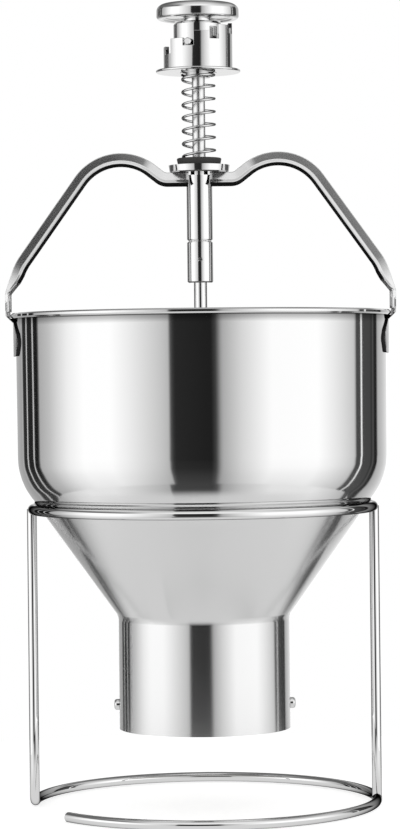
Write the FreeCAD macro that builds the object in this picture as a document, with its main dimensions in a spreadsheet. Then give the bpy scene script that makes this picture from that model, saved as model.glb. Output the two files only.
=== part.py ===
import FreeCAD, Part
import Sketcher
import math
import os

# Donut batter dispenser: a conical hopper that hangs in a wire stand, with a push rod,
# a return spring and a stepped cup that sets how far the rod can be pressed.
# Lengths are in millimetres and angles in degrees. Z is up, and the origin is on the
# hopper's axis at the level of the floor.

SIZES = {
    # wire stand
    "wire_dia": 6.0,
    "ring_inset": 9.0,
    "base_ring_reach": 0.6,
    "foot_bend_rad": 5.0,
    "free_end_angle": 39.0,
    "ring_gap": 0.3,
    # hopper sheet
    "sheet_thick": 1.2,
    "mouth_height": 48.0,
    "neck_rad": 53.0,
    "neck_length": 69.0,
    "cone_height": 85.0,
    "wall_foot_rad": 114.0,
    "wall_flare": 0.6,
    "wall_height": 102.4,
    "rim_reach": 2.7,
    "rim_depth": 3.1,
    "rim_chamfer": 0.9,
    "shoulder_bend": 43.0,
    "neck_bend": 6.0,
    # pressed handle
    "strap_thick": 1.5,
    "strap_width": 14.0,
    "strap_depth": 8.0,
    "bracket_rise": 85.9,
    "bracket_margin": 2.1,
    "bracket_bend": 4.0,
    "arch_half": 55.75,
    "arch_rise": 27.15,
    "arch_bend": 34.5,
    "knee_in": 6.1,
    "knee_rise": 30.9,
    "knee_bend": 36.0,
    "ankle_rise": 12.6,
    "flare_run": 8.6,
    "flare_fall": 8.2,
    "flare_bend": 30.0,
    "foot_thick": 2.0,
    "foot_gap": 1.1,
    "foot_hook": 1.8,
    "foot_flare": 4.0,
    "foot_margin": 8.0,
    "tab_thick": 1.3,
    "tab_half_width": 32.0,
    "tab_end_taper": 6.5,
    "tab_length": 23.2,
    "tab_shoulder": 15.0,
    "tab_corner_in": 4.0,
    "tab_corner_drop": 9.35,
    "tab_round": 4.5,
    # guide bush, dish and spring
    "rod_dia": 8.0,
    "slide_gap": 0.06,
    "bush_wall": 3.94,
    "bush_neck_wall": 1.24,
    "bush_length": 42.0,
    "edge_chamfer": 0.8,
    "dish_margin": 8.25,
    "dish_taper": 0.7,
    "dish_height": 4.6,
    "dish_thick": 1.5,
    "dish_chamfer": 0.75,
    "spring_wire": 1.65,
    "spring_dia": 21.3,
    "spring_gap": 0.3,
    "closed_gap": 0.5,
    "closed_turns": 2.6,
    "flat_turns": 0.4,
    "ramp_turns": 0.5,
    "open_turns": 6.0,
    # collar and stepped cup
    "seat_gap": 0.2,
    "cup_rise": 61.9,
    "cup_dia": 42.6,
    "cup_wall": 2.5,
    "cup_floor": 3.0,
    "cup_height": 30.2,
    "flange_reach": 4.85,
    "flange_thick": 1.6,
    "flange_chamfer": 0.4,
    "rim_drop": 2.1,
    "step_rise": 4.15,
    "step_count": 4,
    "step_angle": 45.0,
    "first_riser": 82.8,
    "notch_depth": 4.8,
    "notch_play": 1.76,
    "pin_step": 2,
    "pin_shift": 0.8,
    "pin_dia": 4.4,
    "pin_proud": 0.8,
    "pin_root": 2.5,
    "pin_chamfer": 0.4,
    "thrust_reach": 0.35,
    "thrust_thick": 1.3,
    "thrust_clear": 0.3,
    "spigot_gap": 1.1,
    "spigot_length": 3.2,
    # knob
    "sleeve_gap": 3.8,
    "sleeve_lift": 10.0,
    "sleeve_chamfer": 1.5,
    "knob_clear": 1.7,
    "knob_gap": 2.6,
    "knob_height": 10.2,
    "knob_wall": 2.5,
    "knob_roof": 3.4,
    "knob_round": 3.6,
    "boss_wall": 6.5,
    "boss_drop": 1.8,
    "rod_socket": 6.8,
    # coupling and lower rod
    "coupling_gap": 0.3,
    "coupling_length": 25.6,
    "cross_hole_dia": 3.0,
    "cross_hole_drop": 11.4,
    "rod_butt_gap": 0.4,
    # die and cutter
    "die_lift": 0.6,
    "die_height": 28.0,
    "die_fit": 0.1,
    "mouth_rad": 30.0,
    "mouth_length": 11.0,
    "die_rim": 2.5,
    "seal_height": 4.0,
    "seal_depth": 2.0,
    "seal_drop": 7.0,
    "guide_ring_width": 2.5,
    "guide_thick": 4.0,
    "guide_hub_wall": 3.94,
    "guide_hub_length": 14.0,
    "guide_arm_width": 5.0,
    "disc_gap": 0.08,
    "disc_edge": 2.0,
    "disc_cone": 4.5,
    "disc_hub_reach": 3.0,
    "disc_inset": 1.0,
    "stub_shoulder": 1.0,
    "nut_wall": 2.0,
    "nut_height": 5.0,
    "stub_proud": 0.6,
    "screw_rise": 14.5,
    "screw_dia": 4.0,
    "screw_clear": 0.1,
    "screw_length": 11.0,
    "screw_tip": 0.5,
    "screw_head_reach": 1.4,
    "screw_head_height": 2.9,
    "screw_head_round": 1.6,
    "screw_socket_width": 2.5,
    "screw_socket_depth": 1.6,
}


class Size:
    """A length or ratio together with the expression that binds it to the sheet."""

    def __init__(self, value, text):
        self.value = value
        self.text = text

    def __add__(self, other):
        other = as_size(other)
        return Size(self.value + other.value, f"({self.text} + {other.text})")

    def __sub__(self, other):
        other = as_size(other)
        return Size(self.value - other.value, f"({self.text} - {other.text})")

    def __mul__(self, other):
        other = as_size(other)
        return Size(self.value * other.value, f"({self.text} * {other.text})")

    def __truediv__(self, other):
        other = as_size(other)
        return Size(self.value / other.value, f"({self.text} / {other.text})")


def as_size(number):
    if isinstance(number, Size):
        return number
    return Size(float(number), repr(float(number)))


def tan_of(angle):
    return Size(math.tan(math.radians(angle.value)), f"tan({angle.text} * 1 deg)")


def angle_of(slope):
    return Size(math.degrees(math.atan(slope.value)), f"(atan({slope.text}) / 1 deg)")


def root_of(size):
    return Size(math.sqrt(size.value), f"sqrt({size.text})")


class Sheet:
    """The spreadsheet, with each of its cells as an attribute."""

    def __init__(self, doc, sizes):
        self.doc = doc
        self.cells = doc.addObject("Spreadsheet::Sheet", "Sizes")
        self.row = 0
        for alias, value in sizes.items():
            self.add(alias, value)

    def add(self, alias, value):
        self.row += 1
        self.cells.set(f"A{self.row}", alias)
        self.cells.set(f"B{self.row}", repr(value))
        self.cells.setAlias(f"B{self.row}", alias)
        size = Size(float(value), f"Sizes.{alias}")
        setattr(self, alias, size)
        return size


doc = FreeCAD.newDocument("DonutBatterDispenser")
s = Sheet(doc, SIZES)
kept = []


def keep(thing, label):
    """Names a finished sub-part, whose label is its file's name."""
    thing.Label = label
    kept.append(thing)
    return thing


def bind(thing, prop, size):
    thing.setExpression(prop, as_size(size).text)


def origin_plane(body, role):
    return [f for f in body.Origin.OriginFeatures if f.Role == role][0]


def new_body(name):
    return doc.addObject("PartDesign::Body", name)


def new_sketch(body, name, role):
    sketch = body.newObject("Sketcher::SketchObject", name)
    sketch.AttachmentSupport = (origin_plane(body, role), "")
    sketch.MapMode = "FlatFace"
    return sketch


def place_point(sketch, edge, end, x, y):
    """Holds one end of a sketch edge at a bound distance from the two axes."""
    for size, kind, axis in ((x, "DistanceX", -2), (y, "DistanceY", -1)):
        if abs(size.value) < 1e-9:
            sketch.addConstraint(Sketcher.Constraint("PointOnObject", edge, end, axis))
            continue
        where = sketch.addConstraint(
            Sketcher.Constraint(kind, -1, 1, edge, end, size.value)
        )
        sketch.setExpression(f"Constraints[{where}]", size.text)


def draw_outline(sketch, points):
    """Draws a closed outline of straight lines through bound corner points."""
    points = [(as_size(x), as_size(y)) for x, y in points]
    vectors = [FreeCAD.Vector(x.value, y.value, 0) for x, y in points]
    count = len(points)
    for i in range(count):
        sketch.addGeometry(Part.LineSegment(vectors[i], vectors[(i + 1) % count]))
    for i in range(count):
        sketch.addConstraint(
            Sketcher.Constraint("Coincident", i, 2, (i + 1) % count, 1)
        )
    for i, (x, y) in enumerate(points):
        place_point(sketch, i, 1, x, y)


def draw_circle(sketch, x, y, diameter):
    x, y, diameter = as_size(x), as_size(y), as_size(diameter)
    centre = FreeCAD.Vector(x.value, y.value, 0)
    edge = sketch.addGeometry(
        Part.Circle(centre, FreeCAD.Vector(0, 0, 1), diameter.value / 2)
    )
    place_point(sketch, edge, 3, x, y)
    where = sketch.addConstraint(Sketcher.Constraint("Diameter", edge, diameter.value))
    sketch.setExpression(f"Constraints[{where}]", diameter.text)


def turned(name, outline):
    """A body turned about the Z axis from an outline of (radius, height) corners."""
    body = new_body(name)
    sketch = new_sketch(body, name + "Outline", "XZ_Plane")
    draw_outline(sketch, outline)
    turn = body.newObject("PartDesign::Revolution", name + "Turn")
    turn.Profile = sketch
    turn.ReferenceAxis = (sketch, ["V_Axis"])
    turn.Angle = 360
    doc.recompute()
    return body


def circle_edges(shape, spots):
    """Names the circular edges that lie at the given (radius, height) spots."""
    spots = [(as_size(r).value, as_size(z).value) for r, z in spots]
    names = []
    for i, edge in enumerate(shape.Edges):
        if not isinstance(edge.Curve, Part.Circle):
            continue
        at = (edge.Curve.Radius, edge.Curve.Center.z)
        if any(math.dist(at, spot) < 0.01 for spot in spots):
            names.append(f"Edge{i + 1}")
    assert len(names) >= len(spots), f"edges {spots} not found"
    return names


def straight_edges(shape, spots, along="y", across="x"):
    """Names the edges along one level axis that cross the other at (place, z) spots."""
    spots = [(as_size(x).value, as_size(z).value) for x, z in spots]
    names = []
    for i, edge in enumerate(shape.Edges):
        if not isinstance(edge.Curve, Part.Line):
            continue
        if abs(getattr(edge.tangentAt(edge.FirstParameter), along)) < 0.999:
            continue
        middle = edge.CenterOfMass
        at = (getattr(middle, across), middle.z)
        if any(math.dist(at, spot) < 0.01 for spot in spots):
            names.append(f"Edge{i + 1}")
    assert len(names) >= len(spots), f"edges {spots} not found"
    return names


def dress(body, kind, name, names, size):
    """Adds a fillet or a chamfer to the body's last feature."""
    base = body.Tip
    feature = body.newObject("PartDesign::" + kind, name)
    feature.Base = (base, names)
    bind(feature, "Radius" if kind == "Fillet" else "Size", size)
    doc.recompute()
    return feature


def round_rings(body, name, radius, spots):
    return dress(body, "Fillet", name, circle_edges(body.Tip.Shape, spots), radius)


def chamfer_rings(body, name, size, spots):
    return dress(body, "Chamfer", name, circle_edges(body.Tip.Shape, spots), size)


def cut_sketch(body, name, sketch, length=None, both=False, reverse=False):
    """Cuts a pocket and makes sure that it took metal away."""
    before = body.Shape.Volume
    pocket = body.newObject("PartDesign::Pocket", name)
    pocket.Profile = sketch
    if length is None:
        pocket.Type = "ThroughAll"
    else:
        pocket.Type = "Length"
        bind(pocket, "Length", length)
    if both:
        pocket.SideType = "Symmetric"
    pocket.Reversed = reverse
    doc.recompute()
    assert body.Shape.Volume < before - 1e-3, f"{name} cuts nothing"
    return pocket


def cross_hole(body, name, role, height, diameter, both=True):
    """Drills across the axis at a height, right through or into the front only."""
    sketch = new_sketch(body, name + "Circle", role)
    draw_circle(sketch, 0, height, diameter)
    return cut_sketch(body, name, sketch, both=both, reverse=not both)


def tube(name, radius, bore, bottom, top):
    outline = [(bore, bottom), (radius, bottom), (radius, top), (bore, top)]
    return turned(name, outline)


def rod(name, radius, bottom, top):
    return turned(name, [(0, bottom), (radius, bottom), (radius, top), (0, top)])


class SlopedLine:
    """A straight line z = start + slope * x in the front view."""

    def __init__(self, slope, start):
        self.slope = slope
        self.start = start

    def lowered(self, distance):
        """The parallel line that lies a distance below, square to the line."""
        shift = root_of(self.slope * self.slope + 1) * distance
        return SlopedLine(self.slope, self.start - shift)

    def height_at(self, x):
        return self.start + self.slope * x

    def meet(self, other):
        x = (other.start - self.start) / (self.slope - other.slope)
        return x, self.height_at(x)


def line_through(slope, x, z):
    return SlopedLine(slope, z - slope * x)


def vector(x, y, z=0.0):
    return FreeCAD.Vector(x, y, z)


def ring_point(radius, angle, z):
    """A point on a level circle, with the angle counted from +X towards +Y."""
    turn = math.radians(angle)
    return vector(radius * math.cos(turn), radius * math.sin(turn), z)


def swept_wire(edges, diameter):
    """A round wire along a path of tangent lines and arcs."""
    path = Part.Wire(edges)
    start = edges[0].valueAt(edges[0].FirstParameter)
    along = edges[0].tangentAt(edges[0].FirstParameter)
    section = Part.Wire([Part.makeCircle(diameter / 2, start, along)])
    return path.makePipeShell([section], True, False)


# Levels and places worked out from the driving sizes
neck_top = s.mouth_height + s.neck_length
wall_foot = neck_top + s.cone_height
rim_top = wall_foot + s.wall_height
rim_bottom = rim_top - s.rim_depth
wall_top_rad = s.wall_foot_rad + s.wall_flare
rim_rad = wall_top_rad + s.rim_reach
top_ring_rad = s.wall_foot_rad - s.ring_inset
base_ring_rad = top_ring_rad + s.base_ring_reach
cone_slope = (s.wall_foot_rad - s.neck_rad) / s.cone_height
cone_stretch = root_of(cone_slope * cone_slope + 1)
rod_rad = s.rod_dia / 2
bore_rad = rod_rad + s.slide_gap
bush_rad = bore_rad + s.bush_wall
cup_rad = s.cup_dia / 2
cup_inner_rad = cup_rad - s.cup_wall
stub_rad = rod_rad - s.stub_shoulder
wire_rad = s.wire_dia / 2
half_notch = angle_of((s.pin_dia + s.notch_play) / (cup_inner_rad * 2))
top_ring_level = (
    neck_top
    + (top_ring_rad - s.neck_rad - (wire_rad + s.ring_gap) * cone_stretch)
    / cone_slope
)

bracket_top = rim_top + s.bracket_rise
dish_rad = s.spring_dia / 2 + s.dish_margin
bush_bottom = bracket_top - s.bush_length
dish_floor = bracket_top + s.dish_thick
coupling_top = bush_bottom - s.coupling_gap
coupling_bottom = coupling_top - s.coupling_length
cross_hole_level = coupling_top - s.cross_hole_drop
upper_rod_end = cross_hole_level + s.rod_butt_gap / 2
lower_rod_top = cross_hole_level - s.rod_butt_gap / 2

flange_bottom = bracket_top + s.cup_rise
cup_floor_top = flange_bottom + s.cup_floor
cup_top = flange_bottom + s.cup_height
thrust_bottom = flange_bottom - s.seat_gap
thrust_top = thrust_bottom + s.thrust_thick
knob_bottom = cup_top + s.knob_gap
knob_top = knob_bottom + s.knob_height
boss_bottom = knob_bottom - s.boss_drop
rod_top = boss_bottom + s.rod_socket
sleeve_bottom = cup_floor_top + s.sleeve_lift
pin_notch_level = cup_top - s.rim_drop - s.step_rise * s.pin_step - s.notch_depth
pin_level = pin_notch_level + s.pin_dia / 2 + s.seat_gap

die_bottom = s.mouth_height + s.die_lift
die_top = die_bottom + s.die_height
die_rad = s.neck_rad - s.sheet_thick - s.die_fit
seal_top = die_top - s.seal_drop
seal_bottom = seal_top - s.seal_height
screw_level = s.mouth_height + s.screw_rise
disc_bottom = die_bottom + s.disc_inset
disc_top = disc_bottom + s.disc_edge + s.disc_cone
nut_bottom = disc_bottom - s.nut_height


def make_stand():
    ring = doc.addObject("Part::Torus", "StandTopRing")
    bind(ring, "Radius1", top_ring_rad)
    bind(ring, "Radius2", wire_rad)
    bind(ring, "Placement.Base.z", top_ring_level)
    keep(ring, "stand_top_ring")

    # left leg, foot bend and base ring are one bent wire that ends free at the front left
    radius = base_ring_rad.value
    bend = s.foot_bend_rad.value
    low = wire_rad.value
    turn_in = math.degrees(math.atan2(bend, radius))
    start_angle = 180.0 - turn_in
    end_angle = s.free_end_angle.value - 180.0
    start = ring_point(radius, start_angle, low)
    ahead = ring_point(1.0, start_angle - 90.0, 0.0)
    up = vector(0, 0, 1)
    corner = start - ahead * bend
    knee = corner + up * bend
    middle = start + up * bend - (ahead + up) * (bend / math.sqrt(2))
    top = vector(corner.x, corner.y, top_ring_level.value)
    halfway = (start_angle + end_angle) / 2
    base_arc = Part.Arc(
        start, ring_point(radius, halfway, low), ring_point(radius, end_angle, low)
    )
    path = [
        Part.LineSegment(top, knee).toShape(),
        Part.Arc(knee, middle, start).toShape(),
        base_arc.toShape(),
    ]
    bent = doc.addObject("Part::Feature", "BentWire")
    bent.Shape = swept_wire(path, s.wire_dia.value)
    base = doc.addObject("Part::Cut", "StandBaseWire")
    base.Base = bent
    base.Tool = ring
    keep(base, "stand_base_wire")

    # right leg, with both of its ends shaped to the round wires that it is welded to
    leg = doc.addObject("Part::Cylinder", "RightLegBar")
    bind(leg, "Radius", wire_rad)
    bind(leg, "Height", top_ring_level - wire_rad)
    leg_rad = root_of(
        base_ring_rad * base_ring_rad + s.foot_bend_rad * s.foot_bend_rad
    )
    bind(leg, "Placement.Base.x", leg_rad)
    bind(leg, "Placement.Base.z", wire_rad)
    top_cut = doc.addObject("Part::Cut", "RightLegTopCut")
    top_cut.Base = leg
    top_cut.Tool = ring
    base_cut = doc.addObject("Part::Cut", "StandRightLeg")
    base_cut.Base = top_cut
    base_cut.Tool = bent
    keep(base_cut, "stand_right_leg")


def make_hopper():
    t = s.sheet_thick
    # height by which the inside corners lie above the outside ones
    rise = t * (cone_stretch - 1) / cone_slope
    shell = turned(
        "HopperShell",
        [
            (s.neck_rad, s.mouth_height),
            (s.neck_rad, neck_top),
            (s.wall_foot_rad, wall_foot),
            (wall_top_rad, rim_bottom),
            (rim_rad, rim_bottom),
            (rim_rad, rim_top),
            (wall_top_rad - t, rim_top),
            (s.wall_foot_rad - t, wall_foot + rise),
            (s.neck_rad - t, neck_top + rise),
            (s.neck_rad - t, s.mouth_height),
        ],
    )
    bend = s.shoulder_bend
    inside = [(s.wall_foot_rad - t, wall_foot + rise)]
    round_rings(shell, "ShoulderInside", bend - t, inside)
    round_rings(shell, "ShoulderOutside", bend, [(s.wall_foot_rad, wall_foot)])
    round_rings(shell, "NeckOutside", s.neck_bend, [(s.neck_rad, neck_top)])
    inside = [(s.neck_rad - t, neck_top + rise)]
    round_rings(shell, "NeckInside", s.neck_bend + t, inside)
    rim_edges = [
        (rim_rad, rim_top),
        (rim_rad, rim_bottom),
        (wall_top_rad - t, rim_top),
    ]
    chamfer_rings(shell, "RimChamfer", s.rim_chamfer, rim_edges)
    screw_hole = s.screw_dia + s.screw_clear * 2
    cross_hole(shell, "ScrewHoles", "YZ_Plane", screw_level, screw_hole)
    keep(shell, "hopper_shell")


def make_handle():
    thick = s.strap_thick
    foot_in = rim_rad + s.foot_gap
    foot_out = foot_in + s.foot_thick
    knee_x = foot_out - s.knee_in
    knee_z = rim_top + s.knee_rise
    ankle_z = rim_top + s.ankle_rise
    flat = SlopedLine(as_size(0), bracket_top)
    bracket_half = dish_rad + s.bracket_margin
    rise_tan = s.arch_rise / (s.arch_half - bracket_half)
    rise = line_through(rise_tan, bracket_half, bracket_top)
    arm_tan = (bracket_top + s.arch_rise - knee_z) / (knee_x - s.arch_half)
    arm = line_through(arm_tan * -1, knee_x, knee_z)
    shin = line_through((ankle_z - knee_z) / s.knee_in, knee_x, knee_z)

    def run(distance, ankle_x):
        """Corners of the right half at a distance below the strap's upper face."""
        lines = [line.lowered(distance) for line in (flat, rise, arm, shin)]
        corners = [a.meet(b) for a, b in zip(lines, lines[1:])]
        return corners + [(ankle_x, lines[3].height_at(ankle_x))]

    def mirrored(points):
        return points + [(x * -1, z) for x, z in reversed(points)]

    upper = run(0, foot_out)
    hollow = run(thick, foot_in)
    below = [line.lowered(s.strap_depth) for line in (flat, rise, arm)]
    bracket_under = below[0].meet(below[1])
    arch_under = below[1].meet(below[2])
    arm_stretch = root_of(arm_tan * arm_tan + 1)
    flare_x = knee_x - s.strap_depth * arm_tan / arm_stretch
    flare_z = below[2].height_at(flare_x)
    under = [bracket_under, arch_under, (flare_x, flare_z)]
    under += [(flare_x + s.flare_run, flare_z - s.flare_fall)]
    foot_end = rim_top + s.ankle_rise / 2
    flange_end = ankle_z

    strap = new_body("Handle")
    side = new_sketch(strap, "StrapSide", "XZ_Plane")
    right = upper + [(foot_out, foot_end), (foot_in, foot_end), (foot_in, flange_end)]
    right += reversed(under)
    left = [(x * -1, z) for x, z in reversed(right)]
    draw_outline(side, right + left)
    pad = strap.newObject("PartDesign::Pad", "StrapPad")
    pad.Profile = side
    bind(pad, "Length", s.strap_width)
    pad.SideType = "Symmetric"
    doc.recompute()

    def bends(name, size, spots):
        both = spots + [(x * -1, z) for x, z in spots]
        names = straight_edges(strap.Tip.Shape, both)
        dress(strap, "Fillet", name, names, size)

    # the strap is a channel, open below, whose sides fade out at the feet
    open_side = new_sketch(strap, "HollowSide", "XZ_Plane")
    draw_outline(open_side, mirrored(hollow + [(foot_in, rim_top)]))
    cut_sketch(strap, "Hollow", open_side, s.strap_width - thick * 2, both=True)
    bend = s.bracket_bend
    bends("BracketHollow", bend + thick, [hollow[0]])
    bends("ArchHollow", s.arch_bend - thick, [hollow[1]])
    bends("KneeHollow", s.knee_bend - thick, hollow[2:4])
    bends("BracketUpper", bend, [upper[0]])
    bends("ArchUpper", s.arch_bend, [upper[1]])
    bends("KneeUpper", s.knee_bend, upper[2:4])
    bends("BracketUnder", bend + s.strap_depth, [under[0]])
    bends("ArchUnder", s.arch_bend - s.strap_depth, [under[1]])
    bends("FlareUnder", s.flare_bend, [under[2]])

    # hooked feet round the rim, with leaf-shaped tabs that follow the wall
    wall_slope = (wall_top_rad - s.wall_foot_rad) / (rim_bottom - wall_foot)
    tab_bottom = rim_bottom - s.tab_length
    tab_foot = wall_top_rad - wall_slope * s.tab_length
    hook_drop = s.foot_hook + s.foot_thick / 2
    hook_rad = wall_top_rad - wall_slope * hook_drop + s.tab_thick
    margin = s.tab_half_width + s.foot_margin
    foot = new_sketch(strap, "FootSection", "XZ_Plane")
    draw_outline(
        foot,
        [
            (tab_foot, tab_bottom),
            (wall_top_rad, rim_bottom),
            (foot_in, rim_bottom),
            (foot_in, foot_end + s.foot_thick),
            (foot_out, foot_end + s.foot_thick),
            (foot_out, rim_bottom + s.foot_hook),
            (hook_rad, rim_bottom - hook_drop),
            (tab_foot + s.tab_thick, tab_bottom),
        ],
    )
    turn = strap.newObject("PartDesign::Revolution", "FootTurn")
    turn.Profile = foot
    turn.ReferenceAxis = (foot, ["V_Axis"])
    turn.Midplane = True
    bind(turn, "Angle", angle_of(margin / s.wall_foot_rad) * 2)
    doc.recompute()
    pair = strap.newObject("PartDesign::Mirrored", "FootPair")
    pair.Originals = [turn]
    pair.MirrorPlane = (origin_plane(strap, "YZ_Plane"), [""])
    strap.Tip = pair
    doc.recompute()

    # metal outside the tab's outline is trimmed off, seen from the side
    half = s.strap_width / 2
    shoulder = (s.tab_half_width, rim_bottom - s.tab_shoulder)
    tab_end = (s.tab_half_width - s.tab_end_taper, tab_bottom)
    for side_name, sign in (("Front", -1), ("Back", 1)):
        trim = new_sketch(strap, side_name + "TrimOutline", "YZ_Plane")
        outline = [
            (half, ankle_z),
            (half, rim_top + s.foot_thick),
            (half + s.foot_flare, rim_bottom),
            (s.tab_half_width - s.tab_corner_in, rim_bottom - s.tab_corner_drop),
            shoulder,
            tab_end,
            (tab_end[0], tab_bottom - half),
            (margin + s.foot_margin, tab_bottom - half),
            (margin + s.foot_margin, ankle_z),
        ]
        draw_outline(trim, [(as_size(y) * sign, z) for y, z in outline])
        cut_sketch(strap, side_name + "Trim", trim, both=True)
    spots = [(y * sign, z) for y, z in (shoulder, tab_end) for sign in (-1, 1)]
    corners = straight_edges(strap.Tip.Shape, spots, along="x", across="y")
    dress(strap, "Fillet", "TabCorners", corners, s.tab_round)

    # room for the bush, whose body fills the channel's whole width
    room = new_sketch(strap, "BushRoomOutline", "XZ_Plane")
    low = bracket_top - s.strap_depth * 2
    step = bracket_top - thick
    neck = bore_rad + s.bush_neck_wall
    high = bracket_top + thick
    draw_outline(
        room,
        [(0, low), (bush_rad, low), (bush_rad, step), (neck, step), (neck, high), (0, high)],
    )
    before = strap.Shape.Volume
    groove = strap.newObject("PartDesign::Groove", "BushRoom")
    groove.Profile = room
    groove.ReferenceAxis = (room, ["V_Axis"])
    groove.Angle = 360
    doc.recompute()
    assert strap.Shape.Volume < before - 1, "the bush's room cuts nothing"
    keep(strap, "carrying_handle")

    bush = turned(
        "GuideBush",
        [
            (bore_rad, bush_bottom),
            (bush_rad, bush_bottom),
            (bush_rad, step),
            (neck, step),
            (neck, bracket_top),
            (bore_rad, bracket_top),
        ],
    )
    chamfer_rings(bush, "BushChamfer", s.edge_chamfer, [(bush_rad, bush_bottom)])
    keep(bush, "guide_bush")


def make_dish():
    t = s.dish_thick
    foot = dish_rad - s.dish_taper
    top = bracket_top + s.dish_height
    outline = [
        (bore_rad, bracket_top),
        (foot, bracket_top),
        (dish_rad, top),
        (dish_rad - t, top),
        (foot - t, dish_floor),
        (bore_rad, dish_floor),
    ]
    dish = turned("SpringDish", outline)
    chamfer_rings(dish, "DishCorner", s.dish_chamfer, [(foot, bracket_top)])
    keep(dish, "spring_dish")


def arc_between(start, along, end):
    """The circular arc that leaves start along a direction and reaches end."""
    chord = end - start
    unit = chord * (1.0 / chord.Length)
    side = along - unit * along.dot(unit)
    if side.Length < 1e-9:
        return Part.LineSegment(start, end).toShape()
    half_turn = math.acos(max(-1.0, min(1.0, along.dot(unit))))
    bulge = chord.Length / 2 * math.tan(half_turn / 2)
    middle = (start + end) * 0.5 + side * (bulge / side.Length)
    return Part.Arc(start, middle, end).toShape()


def arc_pair(start, along, end, onward):
    """Two tangent arcs that join two points with given directions."""
    chord = end - start
    both = along + onward
    bend = 2 * (1 - along.dot(onward))
    lean = chord.dot(both)
    reach = (-lean + math.sqrt(lean * lean + bend * chord.dot(chord))) / bend
    joint = (start + end + (along - onward) * reach) * 0.5
    back = arc_between(end, onward * -1, joint)
    return [arc_between(start, along, joint), back]


def spring_rise(turns, pitch):
    """Height gained by the spring's wire and its slope after some turns."""
    closed = s.spring_wire.value + s.closed_gap.value
    ramp = s.ramp_turns.value
    spans = [
        (s.closed_turns.value, closed, closed),
        (ramp, closed, pitch),
        (s.open_turns.value, pitch, pitch),
        (ramp, pitch, 0.0),
        (s.flat_turns.value, 0.0, 0.0),
    ]
    height = 0.0
    for length, first, last in spans:
        part = min(turns, length)
        slope = first + (last - first) * part / length
        height += (first + slope) / 2 * part
        turns -= part
        if turns <= 1e-9:
            break
    return height, slope


def make_spring():
    low = dish_floor.value + s.spring_gap.value
    high = thrust_bottom.value - s.spring_gap.value
    wire = s.spring_wire.value
    radius = (s.spring_dia.value - wire) / 2
    closed = wire + s.closed_gap.value
    ramp = s.ramp_turns.value
    open_turns = s.open_turns.value
    closed_turns = s.closed_turns.value
    travel = high - low - wire
    pitch = (travel - closed * (closed_turns + ramp / 2)) / (open_turns + ramp)
    count = closed_turns + ramp * 2 + open_turns + s.flat_turns.value
    spans_per_turn = 4
    steps = round(count * spans_per_turn)

    def spot(step):
        turns = count * step / steps
        rise, slope = spring_rise(turns, pitch)
        turn = math.pi + 2 * math.pi * turns
        point = vector(radius * math.cos(turn), radius * math.sin(turn), low + wire / 2 + rise)
        climb = slope / (2 * math.pi * radius)
        along = vector(-math.sin(turn), math.cos(turn), climb)
        return point, along.normalize()

    edges = []
    for step in range(steps):
        start, along = spot(step)
        end, onward = spot(step + 1)
        edges += arc_pair(start, along, end, onward)
    spring = doc.addObject("Part::Feature", "ReturnSpring")
    spring.Shape = swept_wire(edges, wire)
    keep(spring, "return_spring")

    # least gap between the wire's turns, on points along it
    per_turn = 72
    points = [spot(steps * i / (count * per_turn))[0] for i in range(int(count * per_turn))]
    gaps = [
        a.distanceToPoint(b)
        for i, a in enumerate(points)
        for b in points[i + per_turn // 2 : i + per_turn * 2]
    ]
    print("spring: pitch", round(pitch, 3), "least gap to itself", round(min(gaps) - wire, 3))


def make_cup():
    thrust_rad = s.spring_dia / 2 + s.thrust_reach
    spigot_rad = s.spring_dia / 2 - s.spring_wire - s.spigot_gap
    spigot_bottom = thrust_bottom - s.spigot_length
    collar = turned(
        "ThrustCollar",
        [
            (bore_rad, spigot_bottom),
            (spigot_rad, spigot_bottom),
            (spigot_rad, thrust_bottom),
            (thrust_rad, thrust_bottom),
            (thrust_rad, thrust_top),
            (bore_rad, thrust_top),
        ],
    )
    chamfer_rings(collar, "SpigotChamfer", s.edge_chamfer, [(spigot_rad, spigot_bottom)])
    keep(collar, "thrust_collar")

    recess_rad = thrust_rad + s.thrust_clear
    recess_top = thrust_top + s.seat_gap
    inner_rad = cup_inner_rad
    flange_rad = cup_rad + s.flange_reach
    flange_top = flange_bottom + s.flange_thick
    cup = turned(
        "SelectorCup",
        [
            (bore_rad, recess_top),
            (recess_rad, recess_top),
            (recess_rad, flange_bottom),
            (flange_rad, flange_bottom),
            (flange_rad, flange_top),
            (cup_rad, flange_top),
            (cup_rad, cup_top),
            (inner_rad, cup_top),
            (inner_rad, cup_floor_top),
            (bore_rad, cup_floor_top),
        ],
    )
    edges = [(flange_rad, flange_top), (flange_rad, flange_bottom)]
    chamfer_rings(cup, "FlangeChamfer", s.flange_chamfer, edges)

    def wall_cut(name, middle, half_angle, level):
        """Opens the cup's wall above a level, between two radial faces."""
        near = inner_rad / 2
        far = flange_rad
        spread = tan_of(half_angle)
        wedge = new_sketch(cup, name + "Wedge", "XY_Plane")
        corners = [(near, near * spread * -1), (far, far * spread * -1)]
        draw_outline(wedge, corners + [(far, far * spread), (near, near * spread)])
        turn = (middle - 90).value
        wedge.AttachmentOffset = FreeCAD.Placement(
            vector(0, 0, level.value), FreeCAD.Rotation(vector(0, 0, 1), turn)
        )
        bind(wedge, "AttachmentOffset.Base.z", level)
        bind(wedge, "AttachmentOffset.Rotation.Angle", middle - 90)
        cut_sketch(cup, name, wedge, s.cup_height, reverse=True)

    for step in range(int(s.step_count.value) + 1):
        level = cup_top - s.rim_drop - s.step_rise * step
        high_end = s.first_riser - s.step_angle * step
        wall_cut(f"Tread{step}", high_end - s.step_angle / 2, s.step_angle / 2, level)
        wall_cut(f"Notch{step}", high_end - half_notch, half_notch, level - s.notch_depth)
    keep(cup, "selector_cup")


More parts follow.
